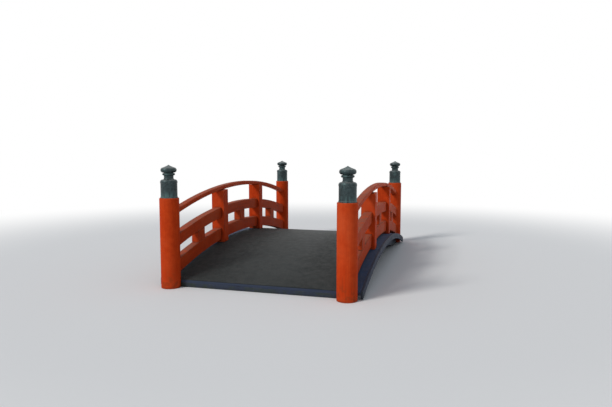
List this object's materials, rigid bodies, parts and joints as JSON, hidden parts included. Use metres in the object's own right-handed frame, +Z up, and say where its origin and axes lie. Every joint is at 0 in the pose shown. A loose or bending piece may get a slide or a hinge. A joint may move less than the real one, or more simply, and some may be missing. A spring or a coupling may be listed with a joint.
{
  "type": "moon bridge",
  "caption": "Arched timber garden footbridge with a dark curved deck, curved vermilion railings and round end posts under bronze onion finials.",
  "frame": {"origin": "middle of the bridge, on the level footing plane that its posts, girders and end beams stand on, 100 mm under the path", "axes": "+Y along the walkway from the near end to the far end, +X to the right of someone who walks that way, +Z up"},
  "size_m": [2.64, 4.645, 1.5534],
  "materials": {
    "vermilion_paint": "weathered vermilion paint on timber, faded to pinkish grey where people hold it",
    "deck_coating": "matt dark slate coating on timber, worn paler along the middle",
    "bronze": "dark blue-grey patinated bronze with green verdigris at its foot"
  },
  "bodies": {
    "root": {"deck": "deck_coating", "edge_board_left": "deck_coating", "edge_board_right": "deck_coating", "girder_left": "deck_coating", "girder_middle": "deck_coating", "girder_right": "deck_coating", "end_beam_near": "deck_coating", "end_beam_far": "deck_coating", "post_near_left": "vermilion_paint", "post_near_right": "vermilion_paint", "post_far_left": "vermilion_paint", "post_far_right": "vermilion_paint", "finial_near_left": "bronze", "finial_near_right": "bronze", "finial_far_left": "bronze", "finial_far_right": "bronze", "handrail_left": "vermilion_paint", "handrail_right": "vermilion_paint", "middle_post_near_left": "vermilion_paint", "middle_post_near_right": "vermilion_paint", "middle_post_far_left": "vermilion_paint", "middle_post_far_right": "vermilion_paint", "middle_rail_near_left": "vermilion_paint", "middle_rail_near_right": "vermilion_paint", "middle_rail_middle_left": "vermilion_paint", "middle_rail_middle_right": "vermilion_paint", "middle_rail_far_left": "vermilion_paint", "middle_rail_far_right": "vermilion_paint", "lower_rail_near_left": "vermilion_paint", "lower_rail_near_right": "vermilion_paint", "lower_rail_middle_left": "vermilion_paint", "lower_rail_middle_right": "vermilion_paint", "lower_rail_far_left": "vermilion_paint", "lower_rail_far_right": "vermilion_paint", "strut_near_left": "vermilion_paint", "strut_near_right": "vermilion_paint", "strut_middle_left": "vermilion_paint", "strut_middle_right": "vermilion_paint", "strut_far_left": "vermilion_paint", "strut_far_right": "vermilion_paint"}
  },
  "joints": []
}
